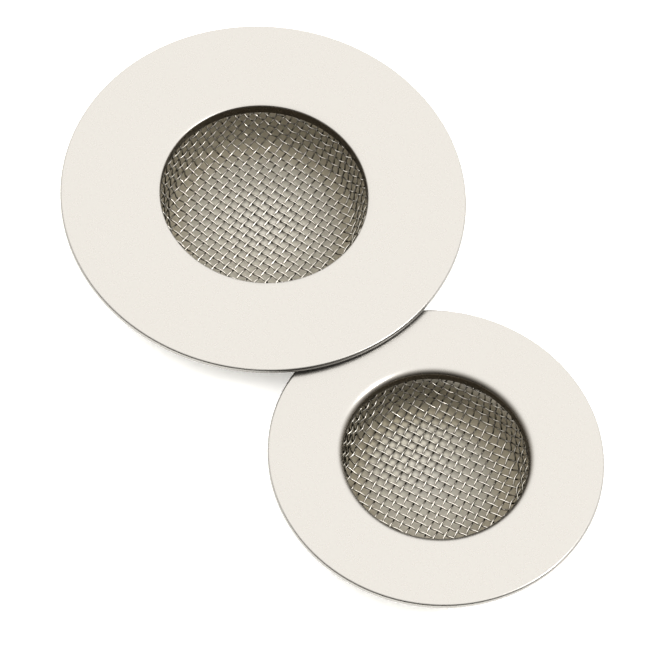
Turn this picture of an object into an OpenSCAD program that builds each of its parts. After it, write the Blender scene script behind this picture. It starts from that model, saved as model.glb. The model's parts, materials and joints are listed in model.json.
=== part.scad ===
// A set of two mesh drain strainers, a large one whose rim lies over the rim of a small one.
//
// Each strainer is a flat sheet-metal ring with a collar turned down around its opening and a
// hem rolled under its outer edge. A backing ring sits in the hem, and the two rings clamp the
// edge of a drawn basket of plain-woven wire cloth.
//
// The origin is on the table, below the middle of the set. +Z is up, and +X points from the
// large strainer to the small one.

/* [Large strainer] */
// Outer diameter of the large flange
large_flange_d = 76; // [72:0.5:80]
// Diameter of the opening in the large flange
large_opening_d = 38.8; // [36:0.1:41]
// Radius of the bend where the large flange turns down into its collar
large_collar_bend = 2; // [1.6:0.1:2.1]
// Depth of the large strainer, from the top of its flange to its lowest wire
large_depth = 11.5; // [11:0.1:12.5]
// Lean of the large basket's wall, in degrees from upright
large_wall_lean = 21; // [18:0.5:26]
// Turn of the large basket's cloth about its axis, in degrees
large_cloth_turn = 24; // [0:1:90]

/* [Small strainer] */
// Outer diameter of the small flange
small_flange_d = 60; // [57:0.5:63]
// Diameter of the opening in the small flange
small_opening_d = 33.2; // [31:0.1:35]
// Radius of the bend where the small flange turns down into its collar
small_collar_bend = 2; // [1.6:0.1:2]
// Depth of the small strainer, from the top of its flange to its lowest wire
small_depth = 11.2; // [10.8:0.1:11.3]
// Lean of the small basket's wall, in degrees from upright
small_wall_lean = 14.5; // [13:0.5:20]
// Turn of the small basket's cloth about its axis, in degrees
small_cloth_turn = 32; // [0:1:90]

/* [Baskets] */
// Depth of the collars, from the top of the flange to the collar's lower edge
collar_h = 2.6; // [2.4:0.1:2.8]
// Radius of the crown that the baskets' bottoms are pressed to
crown_r = 150; // [120:5:200]
// Radius of the corner between a basket's wall and its bottom
corner_r = 2.2; // [1.6:0.1:2.6]
// Radius of the cloth's bend where it leaves the flange
shoulder_r = 1.2; // [1.15:0.05:1.3]

/* [Wire cloth] */
// Distance from one wire to the next, about 16 wires to the inch
mesh_pitch = 1.6; // [1.4:0.05:1.8]
// Diameter of the round wire
wire_d = 0.28; // [0.22:0.01:0.3]
// Width of cloth held between the two rings, outside the opening
clamp_w = 7; // [6:0.5:8]

/* [Sheet metal] */
// Thickness of the rings' sheet
sheet_t = 0.38; // [0.3:0.02:0.44]
// Width of the lip that the hem returns under the flange
lip_w = 1.8; // [1.2:0.2:2.4]

/* [Placement] */
// Distance between the two strainers' axes
centre_distance = 61.7; // [61:0.1:63]

/* [Hidden] */

$fa = 1;
$fs = 0.05;

// Gap between pieces that are pressed together
clear = 0.02;
// Gap between the warp and the weft layers
weave_gap = 0.04;
// Gap left under the large rim where it lies on the small one
rest_gap = 0.03;
// Width of the sloping step between the backing ring's two bands
step_w = 0.8;
// Straight stretches along each bend of the cloth's profile
shoulder_steps = 3;
corner_steps = 4;
crown_steps = 5;

large_r = large_flange_d / 2;
small_r = small_flange_d / 2;
large_opening_r = large_opening_d / 2;
small_opening_r = small_opening_d / 2;

// A square wire with the cross-section area of the round one
wire_side = wire_d * sqrt(PI) / 2;
cloth_t = 2 * wire_side + weave_gap;
hem_t = 2 * sheet_t + cloth_t + 2 * clear;
cloth_top = -sheet_t - clear;
weft_offset = wire_side + weave_gap;

// The small strainer rocks on its crown until its rim slips under the large rim
rim_reach = centre_distance - large_r + hem_t / 2;
rim_drop = crown_z(large_depth) + hem_t + rest_gap;
rock = [rim_reach, crown_z(small_depth)];
small_tilt = atan2(rock[0], rock[1]) - acos(rim_drop / norm(rock));
small_height = crown_r + cloth_t - crown_z(small_depth) * cos(small_tilt);

// The origin is half way between the outer edges of the two flanges
large_x = (large_r - small_r - centre_distance) / 2;
small_x = large_x + centre_distance;

// Height of the crown's centre above the flange, for a strainer of the given depth
function crown_z(depth) = crown_r + cloth_t - depth;

// Part of a flat ring in the profile plane, between two angles less than 180 degrees apart
module arc_band(centre, r_in, r_out, from, to) {
    middle = (from + to) / 2;
    reach = 2 * r_out / cos((to - from) / 4);
    translate(centre)
        intersection() {
            difference() {
                circle(r = r_out);
                circle(r = r_in);
            }
            polygon([
                [0, 0],
                reach * [cos(from), sin(from)],
                reach * [cos(middle), sin(middle)],
                reach * [cos(to), sin(to)]
            ]);
        }
}

// A rectangle in the profile plane, given by two opposite corners
module bar(low, high) {
    translate(low)
        square(high - low);
}

// The flange, its collar and its rolled hem, all of one sheet, with the flange's top at z = 0
module top_ring(flange_r, opening_r, bend_r) {
    hem_r = hem_t / 2;
    rotate_extrude() {
        bar([opening_r, -collar_h], [opening_r + sheet_t, -bend_r]);
        arc_band([opening_r + bend_r, -bend_r], bend_r - sheet_t, bend_r, 90, 180);
        bar([opening_r + bend_r, -sheet_t], [flange_r - hem_r, 0]);
        arc_band([flange_r - hem_r, -hem_r], hem_r - sheet_t, hem_r, 0, 90);
        arc_band([flange_r - hem_r, -hem_r], hem_r - sheet_t, hem_r, -90, 0);
        bar([flange_r - hem_r - lip_w, -hem_t], [flange_r - hem_r, sheet_t - hem_t]);
    }
}

// The ring under the flange: its inner band clamps the cloth, its outer band sits in the hem
module backing_ring(flange_r, opening_r, wall_lean) {
    inner_r = shoulder_centre(opening_r, wall_lean)[0] + clear;
    step_r = opening_r + clamp_w + 2 * clear;
    outer_r = flange_r - hem_t / 2;
    low = -hem_t;
    high = -(hem_t + sheet_t) / 2;
    rotate_extrude()
        polygon([
            [inner_r, low],
            [step_r, low],
            [step_r + step_w, high],
            [outer_r, high],
            [outer_r, high + sheet_t],
            [step_r + step_w, high + sheet_t],
            [step_r, low + sheet_t],
            [inner_r, low + sheet_t]
        ]);
}

// The point where the cloth's upper surface passes the collar's lower edge
function wall_point(opening_r) = [opening_r + sheet_t + 2 * clear, -collar_h];

// Centre of the bend where the cloth turns from the flange into the wall
function shoulder_centre(opening_r, lean) =
    let (z = cloth_top - shoulder_r)
    let (drop = (z + collar_h) * sin(lean))
    [wall_point(opening_r)[0] + (shoulder_r + drop) / cos(lean), z];

// Angle at the crown's centre from the axis out to the basket's corner
function crown_angle(opening_r, lean, depth) =
    let (across = wall_point(opening_r)[0] * cos(lean))
    let (along = (crown_z(depth) + collar_h) * sin(lean))
    asin((across + along - corner_r) / (crown_r - corner_r)) - lean;

// Points along an arc, from one angle to another, leaving out those before the one named first
function arc_points(centre, r, from, to, steps, first = 0) =
    [for (i = [first : steps])
        let (a = from + (to - from) * i / steps)
        centre + r * [cos(a), sin(a)]];

// The drawn cloth's profile at an offset below its upper surface, from the edge to the axis
function cloth_line(opening_r, lean, depth, offset) =
    let (shoulder = shoulder_centre(opening_r, lean))
    let (turn = crown_angle(opening_r, lean, depth))
    let (crown = [0, crown_z(depth)])
    let (corner = crown + (crown_r - corner_r) * [sin(turn), -cos(turn)])
    concat(
        [[opening_r + clamp_w, cloth_top - offset]],
        arc_points(shoulder, shoulder_r - offset, 90, 180 - lean, shoulder_steps),
        arc_points(corner, corner_r + offset, -lean, turn - 90, corner_steps),
        arc_points(crown, crown_r + offset, turn - 90, -90, crown_steps, first = 1)
    );

function reversed(list) = [for (i = [len(list) - 1 : -1 : 0]) list[i]];

// One layer of the drawn cloth, one wire thick, starting at an offset below its upper surface
module cloth_layer(opening_r, lean, depth, offset) {
    upper = cloth_line(opening_r, lean, depth, offset);
    lower = cloth_line(opening_r, lean, depth, offset + wire_side);
    rotate_extrude()
        polygon(concat(upper, reversed(lower)));
}

// Upright slabs side by side, one for each wire, running along Y
module wire_slabs(reach, depth) {
    last = floor(reach / mesh_pitch - 0.5);
    for (i = [-last - 1 : last])
        translate([(i + 0.5) * mesh_pitch - wire_side / 2, -reach, -depth])
            cube([wire_side, 2 * reach, depth]);
}

// Every wire that runs one way through a basket
module wires(opening_r, lean, depth, turn, offset) {
    intersection() {
        cloth_layer(opening_r, lean, depth, offset);
        rotate([0, 0, turn])
            wire_slabs(opening_r + clamp_w, depth);
    }
}

module in_large_place() {
    translate([large_x, 0, large_depth])
        children();
}

module in_small_place() {
    translate([small_x, 0, small_height])
        rotate([0, -small_tilt, 0])
            children();
}

module large_top_ring() {
    color("gainsboro")
        in_large_place()
            top_ring(large_r, large_opening_r, large_collar_bend);
}

module large_backing_ring() {
    color("silver")
        in_large_place()
            backing_ring(large_r, large_opening_r, large_wall_lean);
}

module large_warp_wires() {
    color("darkgray")
        in_large_place()
            wires(large_opening_r, large_wall_lean, large_depth, large_cloth_turn, 0);
}

module large_weft_wires() {
    color("gray")
        in_large_place()
            wires(large_opening_r, large_wall_lean, large_depth, large_cloth_turn + 90,
                  weft_offset);
}

module small_top_ring() {
    color("gainsboro")
        in_small_place()
            top_ring(small_r, small_opening_r, small_collar_bend);
}

module small_backing_ring() {
    color("silver")
        in_small_place()
            backing_ring(small_r, small_opening_r, small_wall_lean);
}

module small_warp_wires() {
    color("darkgray")
        in_small_place()
            wires(small_opening_r, small_wall_lean, small_depth, small_cloth_turn, 0);
}

module small_weft_wires() {
    color("gray")
        in_small_place()
            wires(small_opening_r, small_wall_lean, small_depth, small_cloth_turn + 90,
                  weft_offset);
}

large_top_ring();
large_backing_ring();
large_warp_wires();
large_weft_wires();
small_top_ring();
small_backing_ring();
small_warp_wires();
small_weft_wires();
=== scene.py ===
"""Two mesh drain strainers, the rim of the large one resting on the rim of the small one.

Each strainer is built in its own frame, with the top of its flange at z = 0 and its axis on Z,
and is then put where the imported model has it. Lengths are in metres.
"""

import json
import math

import bpy
import numpy as np
from mathutils import Matrix, Vector


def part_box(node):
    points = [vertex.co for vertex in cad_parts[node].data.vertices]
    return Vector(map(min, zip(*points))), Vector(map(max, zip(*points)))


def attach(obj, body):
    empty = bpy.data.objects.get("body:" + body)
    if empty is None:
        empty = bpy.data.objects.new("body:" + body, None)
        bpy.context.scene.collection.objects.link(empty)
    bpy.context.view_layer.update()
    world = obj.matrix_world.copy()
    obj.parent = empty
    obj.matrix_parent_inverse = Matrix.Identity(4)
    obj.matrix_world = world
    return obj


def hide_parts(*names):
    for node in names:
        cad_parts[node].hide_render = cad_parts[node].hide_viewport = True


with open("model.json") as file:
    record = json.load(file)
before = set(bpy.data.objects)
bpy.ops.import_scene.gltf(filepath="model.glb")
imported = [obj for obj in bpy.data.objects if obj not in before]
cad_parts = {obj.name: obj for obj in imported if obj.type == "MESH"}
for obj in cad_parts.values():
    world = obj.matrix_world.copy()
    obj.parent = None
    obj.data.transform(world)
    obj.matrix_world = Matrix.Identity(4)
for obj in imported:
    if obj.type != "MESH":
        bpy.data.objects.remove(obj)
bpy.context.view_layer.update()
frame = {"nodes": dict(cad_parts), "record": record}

MM = 0.001

# The drawn basket
CROWN_R = 150 * MM
CORNER_R = 2.2 * MM
SHOULDER_R = 1.2 * MM
WALL_LEAN = {"large": math.radians(21), "small": math.radians(14.5)}
CLAMPED = 6.8 * MM
WALL_GAP = 0.04 * MM

# The cloth: the headings of its warp and its weft in degrees, their pitches and their crimps
WIRE_R = 0.16 * MM
CLOTH_HEADINGS = {"large": (113.0, 25.6), "small": (121.7, 31.8)}
CLOTH_PITCHES = {"large": (1.611 * MM, 1.600 * MM), "small": (1.596 * MM, 1.580 * MM)}
CRIMPS = {"large": (0.11 * MM, 0.21 * MM), "small": (0.21 * MM, 0.11 * MM)}
# The basket's axis passes half a pitch from the nearest wires
CLOTH_SHIFT = 0.5
TUBE_SIDES = 8
STEPS_PER_PITCH = 7
# A wire with fewer points than this on the cloth is left out
FEWEST_POINTS = 4
# Heights on a wire, as shares of its radius, where its painted shade starts and is full
WIRE_TOP = 0.75
WIRE_SIDE = 0.10
# How much painted shade darkens the wires where they dip under the others, and the share of the crimp
# where that painted shade is full
DIP_SHADE = 0.75
FULL_DIP = 0.7

# The sheet metal
SHEET_T = 0.38 * MM
LIP_W = 1.8 * MM
HEM_CORNER_R = 0.5 * MM
SHEARED_R = 0.07 * MM
SHEAR_STEPS = 3
STEP_W = 0.8 * MM
# From the opening out to the step in the backing ring, and the gap between that ring and the hem
STEP_REACH = 7.04 * MM
HEM_GAP = 0.06 * MM
# The flange dips gently and then turns down sharply: two radii and the angle where they meet
DIP_R = {"large": 4.0 * MM, "small": 2.4 * MM}
TURN_R = {"large": 0.4 * MM, "small": 0.9 * MM}
DIP_ANGLE = {"large": 25, "small": 48}
# Depths below the flange where the dark brown painted shade inside each collar starts and is full
COLLAR_SHADE_DEPTHS = {"large": (0.35 * MM, 0.75 * MM), "small": (0.25 * MM, 1.20 * MM)}
TURNS = 288
# Edges sharper than these angles, in degrees, stay sharp
SHEET_CREASE = 40
WIRE_CREASE = 60

# The camera: its lens and sensor in millimetres, its aim, and its elevation and distance from
# there. Angles are in degrees, and headings are counter-clockwise from +X.
CAMERA_LENS = 141.4
SENSOR_WIDTH = 36
CAMERA_ELEVATION = 60.58
CAMERA_ROLL = 8.08
CAMERA_DISTANCE = 466 * MM
CAMERA_AIM = Vector((3.61 * MM, -4.37 * MM, 11.5 * MM))
# The headings of the camera's right-hand side and of the way it looks
CAMERA_RIGHT = 52.58
FAR = CAMERA_RIGHT + 90

# The tent's light and the room's around it, and the cosines of the angle from the tent's middle
# over which one fades into the other
TENT_COLOUR = (2.69, 2.65, 2.60, 1)
ROOM_COLOUR = (0.05, 0.04, 0.025, 1)
TENT_ELEVATION = 60
TENT_EDGE = (-0.28, 0.85)

# A small weak lamp that puts glints on the wires
KEY_HEADING = FAR - 100
KEY_ELEVATION = 50
KEY_DISTANCE = 0.8
KEY_SIZE = 0.2
KEY_POWER = 1.5

# The view's gamma, which lifts or lowers the middle tones
VIEW_GAMMA = 0.75

FLOOR_HALF = 3.0
FLOOR_Z = -0.03 * MM
# The floor from below a strainer's axis (0) to below its rim (1): its paint, darkened under each
# strainer as painted shade, and its glow, a painted light that lifts it to white beyond the rims
FLOOR_PAINTED_SHADE = (
    (0.00, (0.46, 0.443, 0.405)),
    (0.33, (0.47, 0.448, 0.395)),
    (0.46, (0.41, 0.375, 0.30)),
    (0.64, (0.34, 0.305, 0.235)),
    (0.84, (0.80, 0.80, 0.79)),
)
# Painted light: emission that makes the floor glow around the strainers
FLOOR_PAINTED_GLOW = (
    (0.00, (0.0, 0.0, 0.0)),
    (0.64, (0.0, 0.0, 0.0)),
    (0.83, (0.33, 0.328, 0.32)),
    (1.00, (0.62, 0.617, 0.61)),
)


def arc(centre, radius, start, end, steps=8):
    """Points on an arc in the profile plane, with angles in degrees."""
    angles = np.radians(np.linspace(start, end, steps + 1))
    return [(centre[0] + radius * math.cos(a), centre[1] + radius * math.sin(a)) for a in angles]


# ------------------------------------------------------------------ places and sizes

def record_mount(name):
    return next(m for m in frame["record"]["mounts"] if m["name"] == name)


def read_place(name):
    """Matrix from a strainer's own frame to the row frame, and its sizes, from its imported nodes."""
    mount = record_mount(name + "_opening")
    turn = Vector((0, 0, 1)).rotation_difference(Vector(mount["axis"])).to_matrix()
    inverse = np.array(turn.transposed())
    origin = Vector(mount["pos_m"])

    def own(node):
        mesh = frame["nodes"][node].data
        points = np.array([v.co for v in mesh.vertices]) - np.array(origin)
        return points @ inverse.T

    ring, backing, wires = (own(name + n) for n in ("_top_ring", "_backing_ring", "_weft_wires"))
    top = ring[:, 2].max()
    size = {
        "opening_r": mount["dims"]["r_mm"] * MM,
        "flange_r": np.hypot(ring[:, 0], ring[:, 1]).max(),
        "collar_h": top - ring[:, 2].min(),
        "hem_t": top - backing[:, 2].min(),
        "backing_r": np.hypot(backing[:, 0], backing[:, 1]).min(),
        "depth": top - wires[:, 2].min(),
    }
    place = Matrix.Translation(origin) @ turn.to_4x4() @ Matrix.Translation((0, 0, top))
    return place, size


# ------------------------------------------------------------------ sheet metal

def add_painted_shade(mesh, shades):
    """Store how much painted shade each point carries, for the materials to read."""
    painted_shade = mesh.attributes.new("painted_shade", "FLOAT", "POINT")
    painted_shade.data.foreach_set("value", shades)


def add_object(mesh, place, crease):
    """Put a mesh made in a strainer's own frame in its place, as an object of its own."""
    mesh.transform(place)
    mesh.shade_smooth()
    mesh.set_sharp_from_angle(angle=math.radians(crease))
    obj = bpy.data.objects.new(mesh.name, mesh)
    bpy.context.scene.collection.objects.link(obj)
    return obj


def lathe(name, outline, place, shades=None):
    """A ring turned from a closed outline of (radius, height) points, counter-clockwise."""
    count = len(outline)
    angles = np.linspace(0, 2 * math.pi, TURNS, endpoint=False)
    points = [(r * math.cos(a), r * math.sin(a), z) for a in angles for r, z in outline]
    faces = []
    for i in range(TURNS):
        here, there = i * count, (i + 1) % TURNS * count
        for j in range(count):
            k = (j + 1) % count
            faces.append((here + j, there + j, there + k, here + k))
    mesh = bpy.data.meshes.new(name)
    mesh.from_pydata(points, [], faces)
    if shades is not None:
        add_painted_shade(mesh, np.tile(shades, TURNS))
    return add_object(mesh, place, SHEET_CREASE)


def collar_line(name, opening, offset):
    """The collar's bend, from upright to flat, at an offset below the sheet's upper face."""
    dip_r, turn_r, angle = DIP_R[name], TURN_R[name], DIP_ANGLE[name]
    meet = math.radians(angle)
    dip_x = opening + turn_r + (dip_r - turn_r) * math.sin(meet)
    turn_z = -dip_r + (dip_r - turn_r) * math.cos(meet)
    line = arc((opening + turn_r, turn_z), turn_r - offset, 180, 90 + angle, 10)
    return line + arc((dip_x, -dip_r), dip_r - offset, 90 + angle, 90, 14)[1:]


def sheared_edge(centre, start, end):
    """The slightly rounded corner of a cut edge."""
    return arc(centre, SHEARED_R, start, end, SHEAR_STEPS)


def top_ring_outline(size, name):
    """Collar, flange, hem and returned lip, as one sheet of even thickness."""
    opening, outer = size["opening_r"], size["flange_r"]
    low, t = -size["hem_t"], SHEET_T
    corner, inner = HEM_CORNER_R, HEM_CORNER_R - t
    outline = sheared_edge((opening + SHEARED_R, -size["collar_h"] + SHEARED_R), 270, 180)
    outline += collar_line(name, opening, 0)
    outline += arc((outer - corner, -corner), corner, 90, 0, 10)
    outline += arc((outer - corner, low + corner), corner, 0, -90, 10)
    outline += sheared_edge((outer - corner - LIP_W, low + SHEARED_R), 270, 180)
    outline += sheared_edge((outer - corner - LIP_W, low + t - SHEARED_R), 180, 90)
    outline += arc((outer - corner, low + corner), inner, -90, 0, 5)
    outline += arc((outer - corner, -corner), inner, 0, 90, 5)
    outline += collar_line(name, opening, t)[::-1]
    outline += sheared_edge((opening + t - SHEARED_R, -size["collar_h"] + SHEARED_R), 0, -90)
    return outline[::-1]


def collar_painted_shade(outline, size, name):
    """How much painted shade each point of the outline carries: none on the flange, full inside the
    collar.
    """
    r, z = np.array(outline).T
    start, full = COLLAR_SHADE_DEPTHS[name]
    shades = np.clip((-z - start) / (full - start), 0, 1)
    return np.where(r < size["opening_r"] + DIP_R[name], shades, 0)


def backing_ring_outline(size):
    """Inner band that clamps the cloth, a sloping step, and the outer band in the hem."""
    low, t = -size["hem_t"], SHEET_T
    high = (low - t) / 2
    step = size["opening_r"] + STEP_REACH
    inner = size["backing_r"] + SHEARED_R
    outer = size["flange_r"] - HEM_CORNER_R - HEM_GAP - SHEARED_R
    outline = sheared_edge((inner, low + SHEARED_R), 180, 270)
    outline += [(step, low), (step + STEP_W, high)]
    outline += sheared_edge((outer, high + SHEARED_R), -90, 0)
    outline += sheared_edge((outer, high + t - SHEARED_R), 0, 90)
    outline += [(step + STEP_W, high + t), (step, low + t)]
    outline += sheared_edge((inner, low + t - SHEARED_R), 90, 180)
    return outline


# ------------------------------------------------------------------ wire cloth

class Basket:
    """The middle surface of the drawn cloth, as radius, height and slope along its profile."""

    def __init__(self, size, lean, crimp):
        middle = -size["hem_t"] / 2
        half_cloth = -middle - SHEET_T
        wall_r = size["opening_r"] + SHEET_T + WALL_GAP
        shoulder_z = middle - (SHOULDER_R - half_cloth)
        # The shoulder's centre lies where the upper surface just clears the collar's lower edge
        drop = (shoulder_z + size["collar_h"]) * math.sin(lean)
        shoulder_x = wall_r + (SHOULDER_R + drop) / math.cos(lean)
        crown_r = CROWN_R + half_cloth
        # The lowest wires hang below the middle surface by their crimp and their own radius
        crown_z = CROWN_R - size["depth"] + half_cloth + crimp + WIRE_R
        across = wall_r * math.cos(lean) + (crown_z + size["collar_h"]) * math.sin(lean)
        turn = math.asin((across - CORNER_R) / (CROWN_R - CORNER_R)) - lean
        corner = (
            (CROWN_R - CORNER_R) * math.sin(turn),
            crown_z - (CROWN_R - CORNER_R) * math.cos(turn),
        )
        turn_deg, lean_deg = math.degrees(turn), math.degrees(lean)
        shoulder_r = SHOULDER_R - half_cloth
        corner_r = CORNER_R + half_cloth
        points = arc((0, crown_z), crown_r, -90, turn_deg - 90, 60)
        points += arc(corner, corner_r, turn_deg - 90, -lean_deg, 24)[1:]
        points += arc((shoulder_x, shoulder_z), shoulder_r, 180 - lean_deg, 90, 24)
        points += [(size["opening_r"] + CLAMPED, shoulder_z + shoulder_r)]
        self.r, self.z = np.array(points).T
        steps = np.hypot(np.diff(self.r), np.diff(self.z))
        self.s = np.concatenate([[0], np.cumsum(steps)])
        self.slope = np.arctan2(np.gradient(self.z, self.s), np.gradient(self.r, self.s))

    def drape(self, flat):
        """Points and normals where flat cloth points come to lie, and which of them are held."""
        rho = np.maximum(np.hypot(flat[:, 0], flat[:, 1]), 1e-9)
        along = flat / rho[:, None]
        r = np.interp(rho, self.s, self.r)
        z = np.interp(rho, self.s, self.z)
        slope = np.interp(rho, self.s, self.slope)
        points = np.column_stack([along * r[:, None], z])
        normals = np.column_stack([-along * np.sin(slope)[:, None], np.cos(slope)])
        return points, normals, rho <= self.s[-1]


def tube(path, up, radius):
    """Vertices and outward faces of a closed round tube along a path."""
    tangent = np.gradient(path, axis=0)
    tangent /= np.linalg.norm(tangent, axis=1)[:, None]
    side = np.cross(tangent, up)
    side /= np.linalg.norm(side, axis=1)[:, None]
    up = np.cross(side, tangent)
    angles = np.linspace(0, 2 * math.pi, TUBE_SIDES, endpoint=False)
    rings = (
        path[:, None, :]
        + radius * np.cos(angles)[None, :, None] * side[:, None, :]
        + radius * np.sin(angles)[None, :, None] * up[:, None, :]
    )
    count = len(path)
    faces = []
    for i in range(count - 1):
        for j in range(TUBE_SIDES):
            k = (j + 1) % TUBE_SIDES
            a, b = i * TUBE_SIDES, (i + 1) * TUBE_SIDES
            faces.append((a + j, b + j, b + k, a + k))
    faces.append(tuple(range(TUBE_SIDES)))
    faces.append(tuple((count - 1) * TUBE_SIDES + j for j in reversed(range(TUBE_SIDES))))
    return rings.reshape(-1, 3), faces


def wire_painted_shade(height):
    """How much painted shade each vertex of a wire carries: its sides all along, and all of it where
    it dips.
    """
    angles = np.linspace(0, 2 * math.pi, TUBE_SIDES, endpoint=False)
    sides = np.clip((WIRE_TOP - np.sin(angles)) / (WIRE_TOP - WIRE_SIDE), 0, 1)
    dips = DIP_SHADE * np.clip(-height / FULL_DIP, 0, 1)
    return (1 - np.outer(1 - dips, 1 - sides)).ravel()


def weave(name, basket, strainer, runs_along, place):
    """Every wire of the warp (runs_along 0) or the weft (1), passing over and under the others."""
    headings = [np.radians(h) for h in CLOTH_HEADINGS[strainer]]
    directions = [np.array([math.cos(h), math.sin(h)]) for h in headings]
    pitches = CLOTH_PITCHES[strainer]
    across = 1 - runs_along
    reach = int(basket.s[-1] / min(pitches)) + 2
    t = np.arange(-reach * STEPS_PER_PITCH, reach * STEPS_PER_PITCH + 1) / STEPS_PER_PITCH
    along = np.outer((t + CLOTH_SHIFT) * pitches[runs_along], directions[runs_along])
    points, faces, shades, start = [], [], [], 0
    for i in range(-reach, reach + 1):
        flat = along + (i + CLOTH_SHIFT) * pitches[across] * directions[across]
        path, up, held = basket.drape(flat)
        if held.sum() < FEWEST_POINTS:
            continue
        sign = 1 if (i % 2 == 0) == (runs_along == 0) else -1
        height = sign * np.cos(math.pi * t)
        path = path + up * (CRIMPS[strainer][runs_along] * height)[:, None]
        wire_points, wire_faces = tube(path[held], up[held], WIRE_R)
        points.append(wire_points)
        # Painted shade on each wire's sides and where it dips under
        shades.append(wire_painted_shade(height[held]))
        faces += [tuple(start + v for v in face) for face in wire_faces]
        start += len(wire_points)
    mesh = bpy.data.meshes.new(name)
    mesh.from_pydata(np.concatenate(points), [], faces)
    add_painted_shade(mesh, np.concatenate(shades))
    return add_object(mesh, place, WIRE_CREASE)


# ------------------------------------------------------------------ materials

def node_material(name):
    material = bpy.data.materials.new(name)
    material.use_nodes = True
    nodes, links = material.node_tree.nodes, material.node_tree.links
    return material, nodes, links, nodes["Principled BSDF"]


def add_noise(nodes, links, scale, detail, source):
    noise = nodes.new("ShaderNodeTexNoise")
    noise.inputs["Scale"].default_value = scale
    noise.inputs["Detail"].default_value = detail
    links.new(source, noise.inputs["Vector"])
    return noise


def blend_colours(nodes, links, share, first, second):
    """A mix node from the first colour to the second, by a share."""
    mix = nodes.new("ShaderNodeMix")
    mix.data_type = "RGBA"
    mix.inputs["A"].default_value = first
    mix.inputs["B"].default_value = second
    links.new(share, mix.inputs["Factor"])
    return mix


def map_range(nodes, links, value, low, high):
    node = nodes.new("ShaderNodeMapRange")
    node.inputs["To Min"].default_value = low
    node.inputs["To Max"].default_value = high
    links.new(value, node.inputs["Value"])
    return node.outputs["Result"]


def with_painted_shade(nodes, links, metal, brown):
    """The metal's colour, turning to a dark brown painted shade where the mesh carries painted shade.
    """
    painted_shade = nodes.new("ShaderNodeAttribute")
    painted_shade.attribute_name = "painted_shade"
    mix = blend_colours(nodes, links, painted_shade.outputs["Fac"], brown, brown)
    links.new(metal.outputs["Result"], mix.inputs["A"])
    return mix.outputs["Result"]


def sheet_steel():
    """Satin stainless sheet: a pearly, faintly mottled face."""
    material, nodes, links, shader = node_material("sheet_steel")
    place = nodes.new("ShaderNodeTexCoord").outputs["Object"]
    mottle = add_noise(nodes, links, 900, 4, place).outputs["Fac"]
    grain = add_noise(nodes, links, 9000, 3, place).outputs["Fac"]
    metal = blend_colours(nodes, links, mottle, (0.332, 0.325, 0.3115, 1), (0.340, 0.333, 0.320, 1))
    # Painted shade: a dark brown mixed in inside the collar, where the mesh carries it
    links.new(with_painted_shade(nodes, links, metal, (0.12, 0.10, 0.07, 1)), shader.inputs["Base Color"])
    links.new(map_range(nodes, links, mottle, 0.24, 0.32), shader.inputs["Roughness"])
    bump = nodes.new("ShaderNodeBump")
    bump.inputs["Strength"].default_value = 0.003
    bump.inputs["Distance"].default_value = 0.02 * MM
    links.new(grain, bump.inputs["Height"])
    links.new(bump.outputs["Normal"], shader.inputs["Normal"])
    shader.inputs["Metallic"].default_value = 1
    return material


def wire_steel():
    """Bright drawn wire, a little darker and warmer in patches."""
    material, nodes, links, shader = node_material("wire_steel")
    place = nodes.new("ShaderNodeTexCoord").outputs["Object"]
    patches = add_noise(nodes, links, 500, 3, place).outputs["Fac"]
    metal = blend_colours(nodes, links, patches, (0.47, 0.457, 0.421, 1), (0.58, 0.565, 0.53, 1))
    # Painted shade: a near-black brown mixed in on the wires' sides and where they dip under
    links.new(with_painted_shade(nodes, links, metal, (0.07, 0.06, 0.04, 1)), shader.inputs["Base Color"])
    links.new(map_range(nodes, links, patches, 0.08, 0.14), shader.inputs["Roughness"])
    shader.inputs["Metallic"].default_value = 1
    return material


def add_ramp(nodes, links, value, stops):
    """Colour ramp through (position, colour) stops."""
    ramp = nodes.new("ShaderNodeValToRGB")
    ramp.color_ramp.interpolation = "EASE"
    first, last = ramp.color_ramp.elements
    first.position, first.color = stops[0][0], (*stops[0][1], 1)
    last.position, last.color = stops[-1][0], (*stops[-1][1], 1)
    for position, colour in stops[1:-1]:
        ramp.color_ramp.elements.new(position).color = (*colour, 1)
    links.new(value, ramp.inputs["Fac"])
    return ramp


def floor_with_painted_shade(places):
    """Pale sweep lifted to white by a painted glow, and dimmed by painted shade under the two
    strainers.
    """
    material, nodes, links, shader = node_material("pale_floor_painted_shade")
    spot = nodes.new("ShaderNodeTexCoord").outputs["Object"]
    shade = None
    for x, y, radius in places:
        distance = nodes.new("ShaderNodeVectorMath")
        distance.operation = "DISTANCE"
        distance.inputs[1].default_value = (x, y, 0)
        links.new(spot, distance.inputs[0])
        share = nodes.new("ShaderNodeMath")
        share.operation = "DIVIDE"
        share.inputs[1].default_value = radius
        links.new(distance.outputs["Value"], share.inputs[0])
        if shade is None:
            shade = share.outputs["Value"]
            continue
        least = nodes.new("ShaderNodeMath")
        least.operation = "MINIMUM"
        links.new(shade, least.inputs[0])
        links.new(share.outputs["Value"], least.inputs[1])
        shade = least.outputs["Value"]
    # Painted shade: the floor's colour darkens in discs under the strainers
    ramp = add_ramp(nodes, links, shade, FLOOR_PAINTED_SHADE)
    links.new(ramp.outputs["Color"], shader.inputs["Base Color"])
    # Painted light: the floor glows, from none under the strainers to full beyond their rims
    painted_glow = add_ramp(nodes, links, shade, FLOOR_PAINTED_GLOW)
    links.new(painted_glow.outputs["Color"], shader.inputs["Emission Color"])
    shader.inputs["Emission Strength"].default_value = 1
    shader.inputs["Roughness"].default_value = 0.9
    shader.inputs["Specular IOR Level"].default_value = 0.1
    return material


# ------------------------------------------------------------------ the object

SHEET_STEEL = sheet_steel()
WIRE_STEEL = wire_steel()


def add_piece(obj, material, body, node):
    obj.data.materials.append(material)
    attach(obj, body)
    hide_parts(node)


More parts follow.
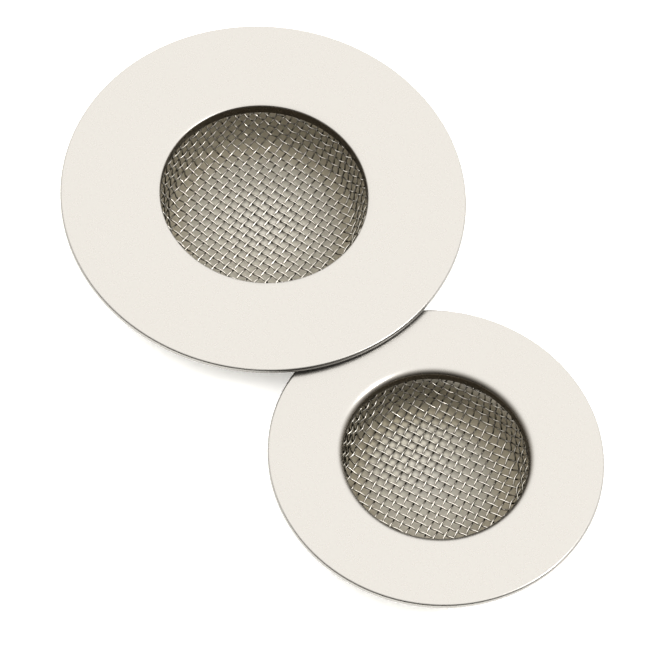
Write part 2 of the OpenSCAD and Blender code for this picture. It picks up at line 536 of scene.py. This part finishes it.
def build_strainer(name):
    place, size = read_place(name)
    body = name + "_strainer"
    outline = top_ring_outline(size, name)
    # The flange carries painted shade inside its collar
    ring = lathe(name + "_flange", outline, place, collar_painted_shade(outline, size, name))
    add_piece(ring, SHEET_STEEL, body, name + "_top_ring")
    backing = lathe(name + "_clamp_ring", backing_ring_outline(size), place)
    add_piece(backing, SHEET_STEEL, body, name + "_backing_ring")
    basket = Basket(size, WALL_LEAN[name], max(CRIMPS[name]))
    for which, family in enumerate(("warp", "weft")):
        wires = weave(f"{name}_{family}_cloth", basket, name, which, place)
        add_piece(wires, WIRE_STEEL, body, f"{name}_{family}_wires")


# ------------------------------------------------------------------ floor, light and camera

def heading_vector(heading, elevation):
    """Unit vector toward a heading and an elevation, both in degrees."""
    h, e = math.radians(heading), math.radians(elevation)
    return Vector((math.cos(h) * math.cos(e), math.sin(h) * math.cos(e), math.sin(e)))


def add_floor():
    mesh = bpy.data.meshes.new("floor")
    corners = [(-1, -1), (1, -1), (1, 1), (-1, 1)]
    points = [(x * FLOOR_HALF, y * FLOOR_HALF, FLOOR_Z) for x, y in corners]
    mesh.from_pydata(points, [], [(0, 1, 2, 3)])
    discs = []
    for name in ("large", "small"):
        lo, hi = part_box(name + "_top_ring")
        discs.append(((lo.x + hi.x) / 2, (lo.y + hi.y) / 2, (hi.y - lo.y) / 2))
    mesh.materials.append(floor_with_painted_shade(discs))
    floor = bpy.data.objects.new("floor", mesh)
    bpy.context.scene.collection.objects.link(floor)


def add_key():
    data = bpy.data.lights.new("key", "AREA")
    data.shape = "SQUARE"
    data.size = KEY_SIZE
    data.energy = KEY_POWER
    lamp = bpy.data.objects.new("key", data)
    away = heading_vector(KEY_HEADING, KEY_ELEVATION)
    lamp.location = away * KEY_DISTANCE
    lamp.rotation_mode = "QUATERNION"
    lamp.rotation_quaternion = away.to_track_quat("Z", "Y")
    bpy.context.scene.collection.objects.link(lamp)


def add_world():
    """A tent of light, brightest high up on the far side, that fades to a dim room around it.

    The camera itself sees plain white in its place.
    """
    world = bpy.data.worlds.new("studio")
    bpy.context.scene.world = world
    world.use_nodes = True
    nodes, links = world.node_tree.nodes, world.node_tree.links
    background = nodes["Background"]
    direction = nodes.new("ShaderNodeTexCoord").outputs["Generated"]
    nearness = nodes.new("ShaderNodeVectorMath")
    nearness.operation = "DOT_PRODUCT"
    nearness.inputs[1].default_value = heading_vector(FAR, TENT_ELEVATION)
    links.new(direction, nearness.inputs[0])
    lit = nodes.new("ShaderNodeMapRange")
    lit.interpolation_type = "SMOOTHSTEP"
    lit.inputs["From Min"].default_value = TENT_EDGE[0]
    lit.inputs["From Max"].default_value = TENT_EDGE[1]
    links.new(nearness.outputs["Value"], lit.inputs["Value"])
    tent = blend_colours(nodes, links, lit.outputs["Result"], ROOM_COLOUR, TENT_COLOUR)
    seen = nodes.new("ShaderNodeLightPath").outputs["Is Camera Ray"]
    white = (1, 1, 1, 1)
    pick = blend_colours(nodes, links, seen, white, white)
    links.new(tent.outputs["Result"], pick.inputs["A"])
    links.new(pick.outputs["Result"], background.inputs["Color"])
    background.inputs["Strength"].default_value = 1


def add_camera():
    """The camera, looking along FAR and down at its aim, and rolled about its own axis."""
    h, e = math.radians(CAMERA_RIGHT), math.radians(CAMERA_ELEVATION)
    forward = Vector((-math.sin(h) * math.cos(e), math.cos(h) * math.cos(e), -math.sin(e)))
    right = Vector((math.cos(h), math.sin(h), 0))
    down = forward.cross(right)
    roll = math.radians(CAMERA_ROLL)
    image_x = math.cos(roll) * right - math.sin(roll) * down
    image_y = -(math.sin(roll) * right + math.cos(roll) * down)
    data = bpy.data.cameras.new("camera")
    data.lens = CAMERA_LENS
    data.sensor_width = SENSOR_WIDTH
    data.clip_start, data.clip_end = 0.02, 20
    camera = bpy.data.objects.new("camera", data)
    turn = Matrix((image_x, image_y, -forward)).transposed()
    camera.matrix_world = Matrix.Translation(CAMERA_AIM - forward * CAMERA_DISTANCE) @ turn.to_4x4()
    bpy.context.scene.collection.objects.link(camera)
    bpy.context.scene.camera = camera


for strainer in ("large", "small"):
    build_strainer(strainer)

add_floor()
add_world()
add_key()
add_camera()
bpy.context.scene.view_settings.view_transform = "Standard"
bpy.context.scene.view_settings.gamma = VIEW_GAMMA
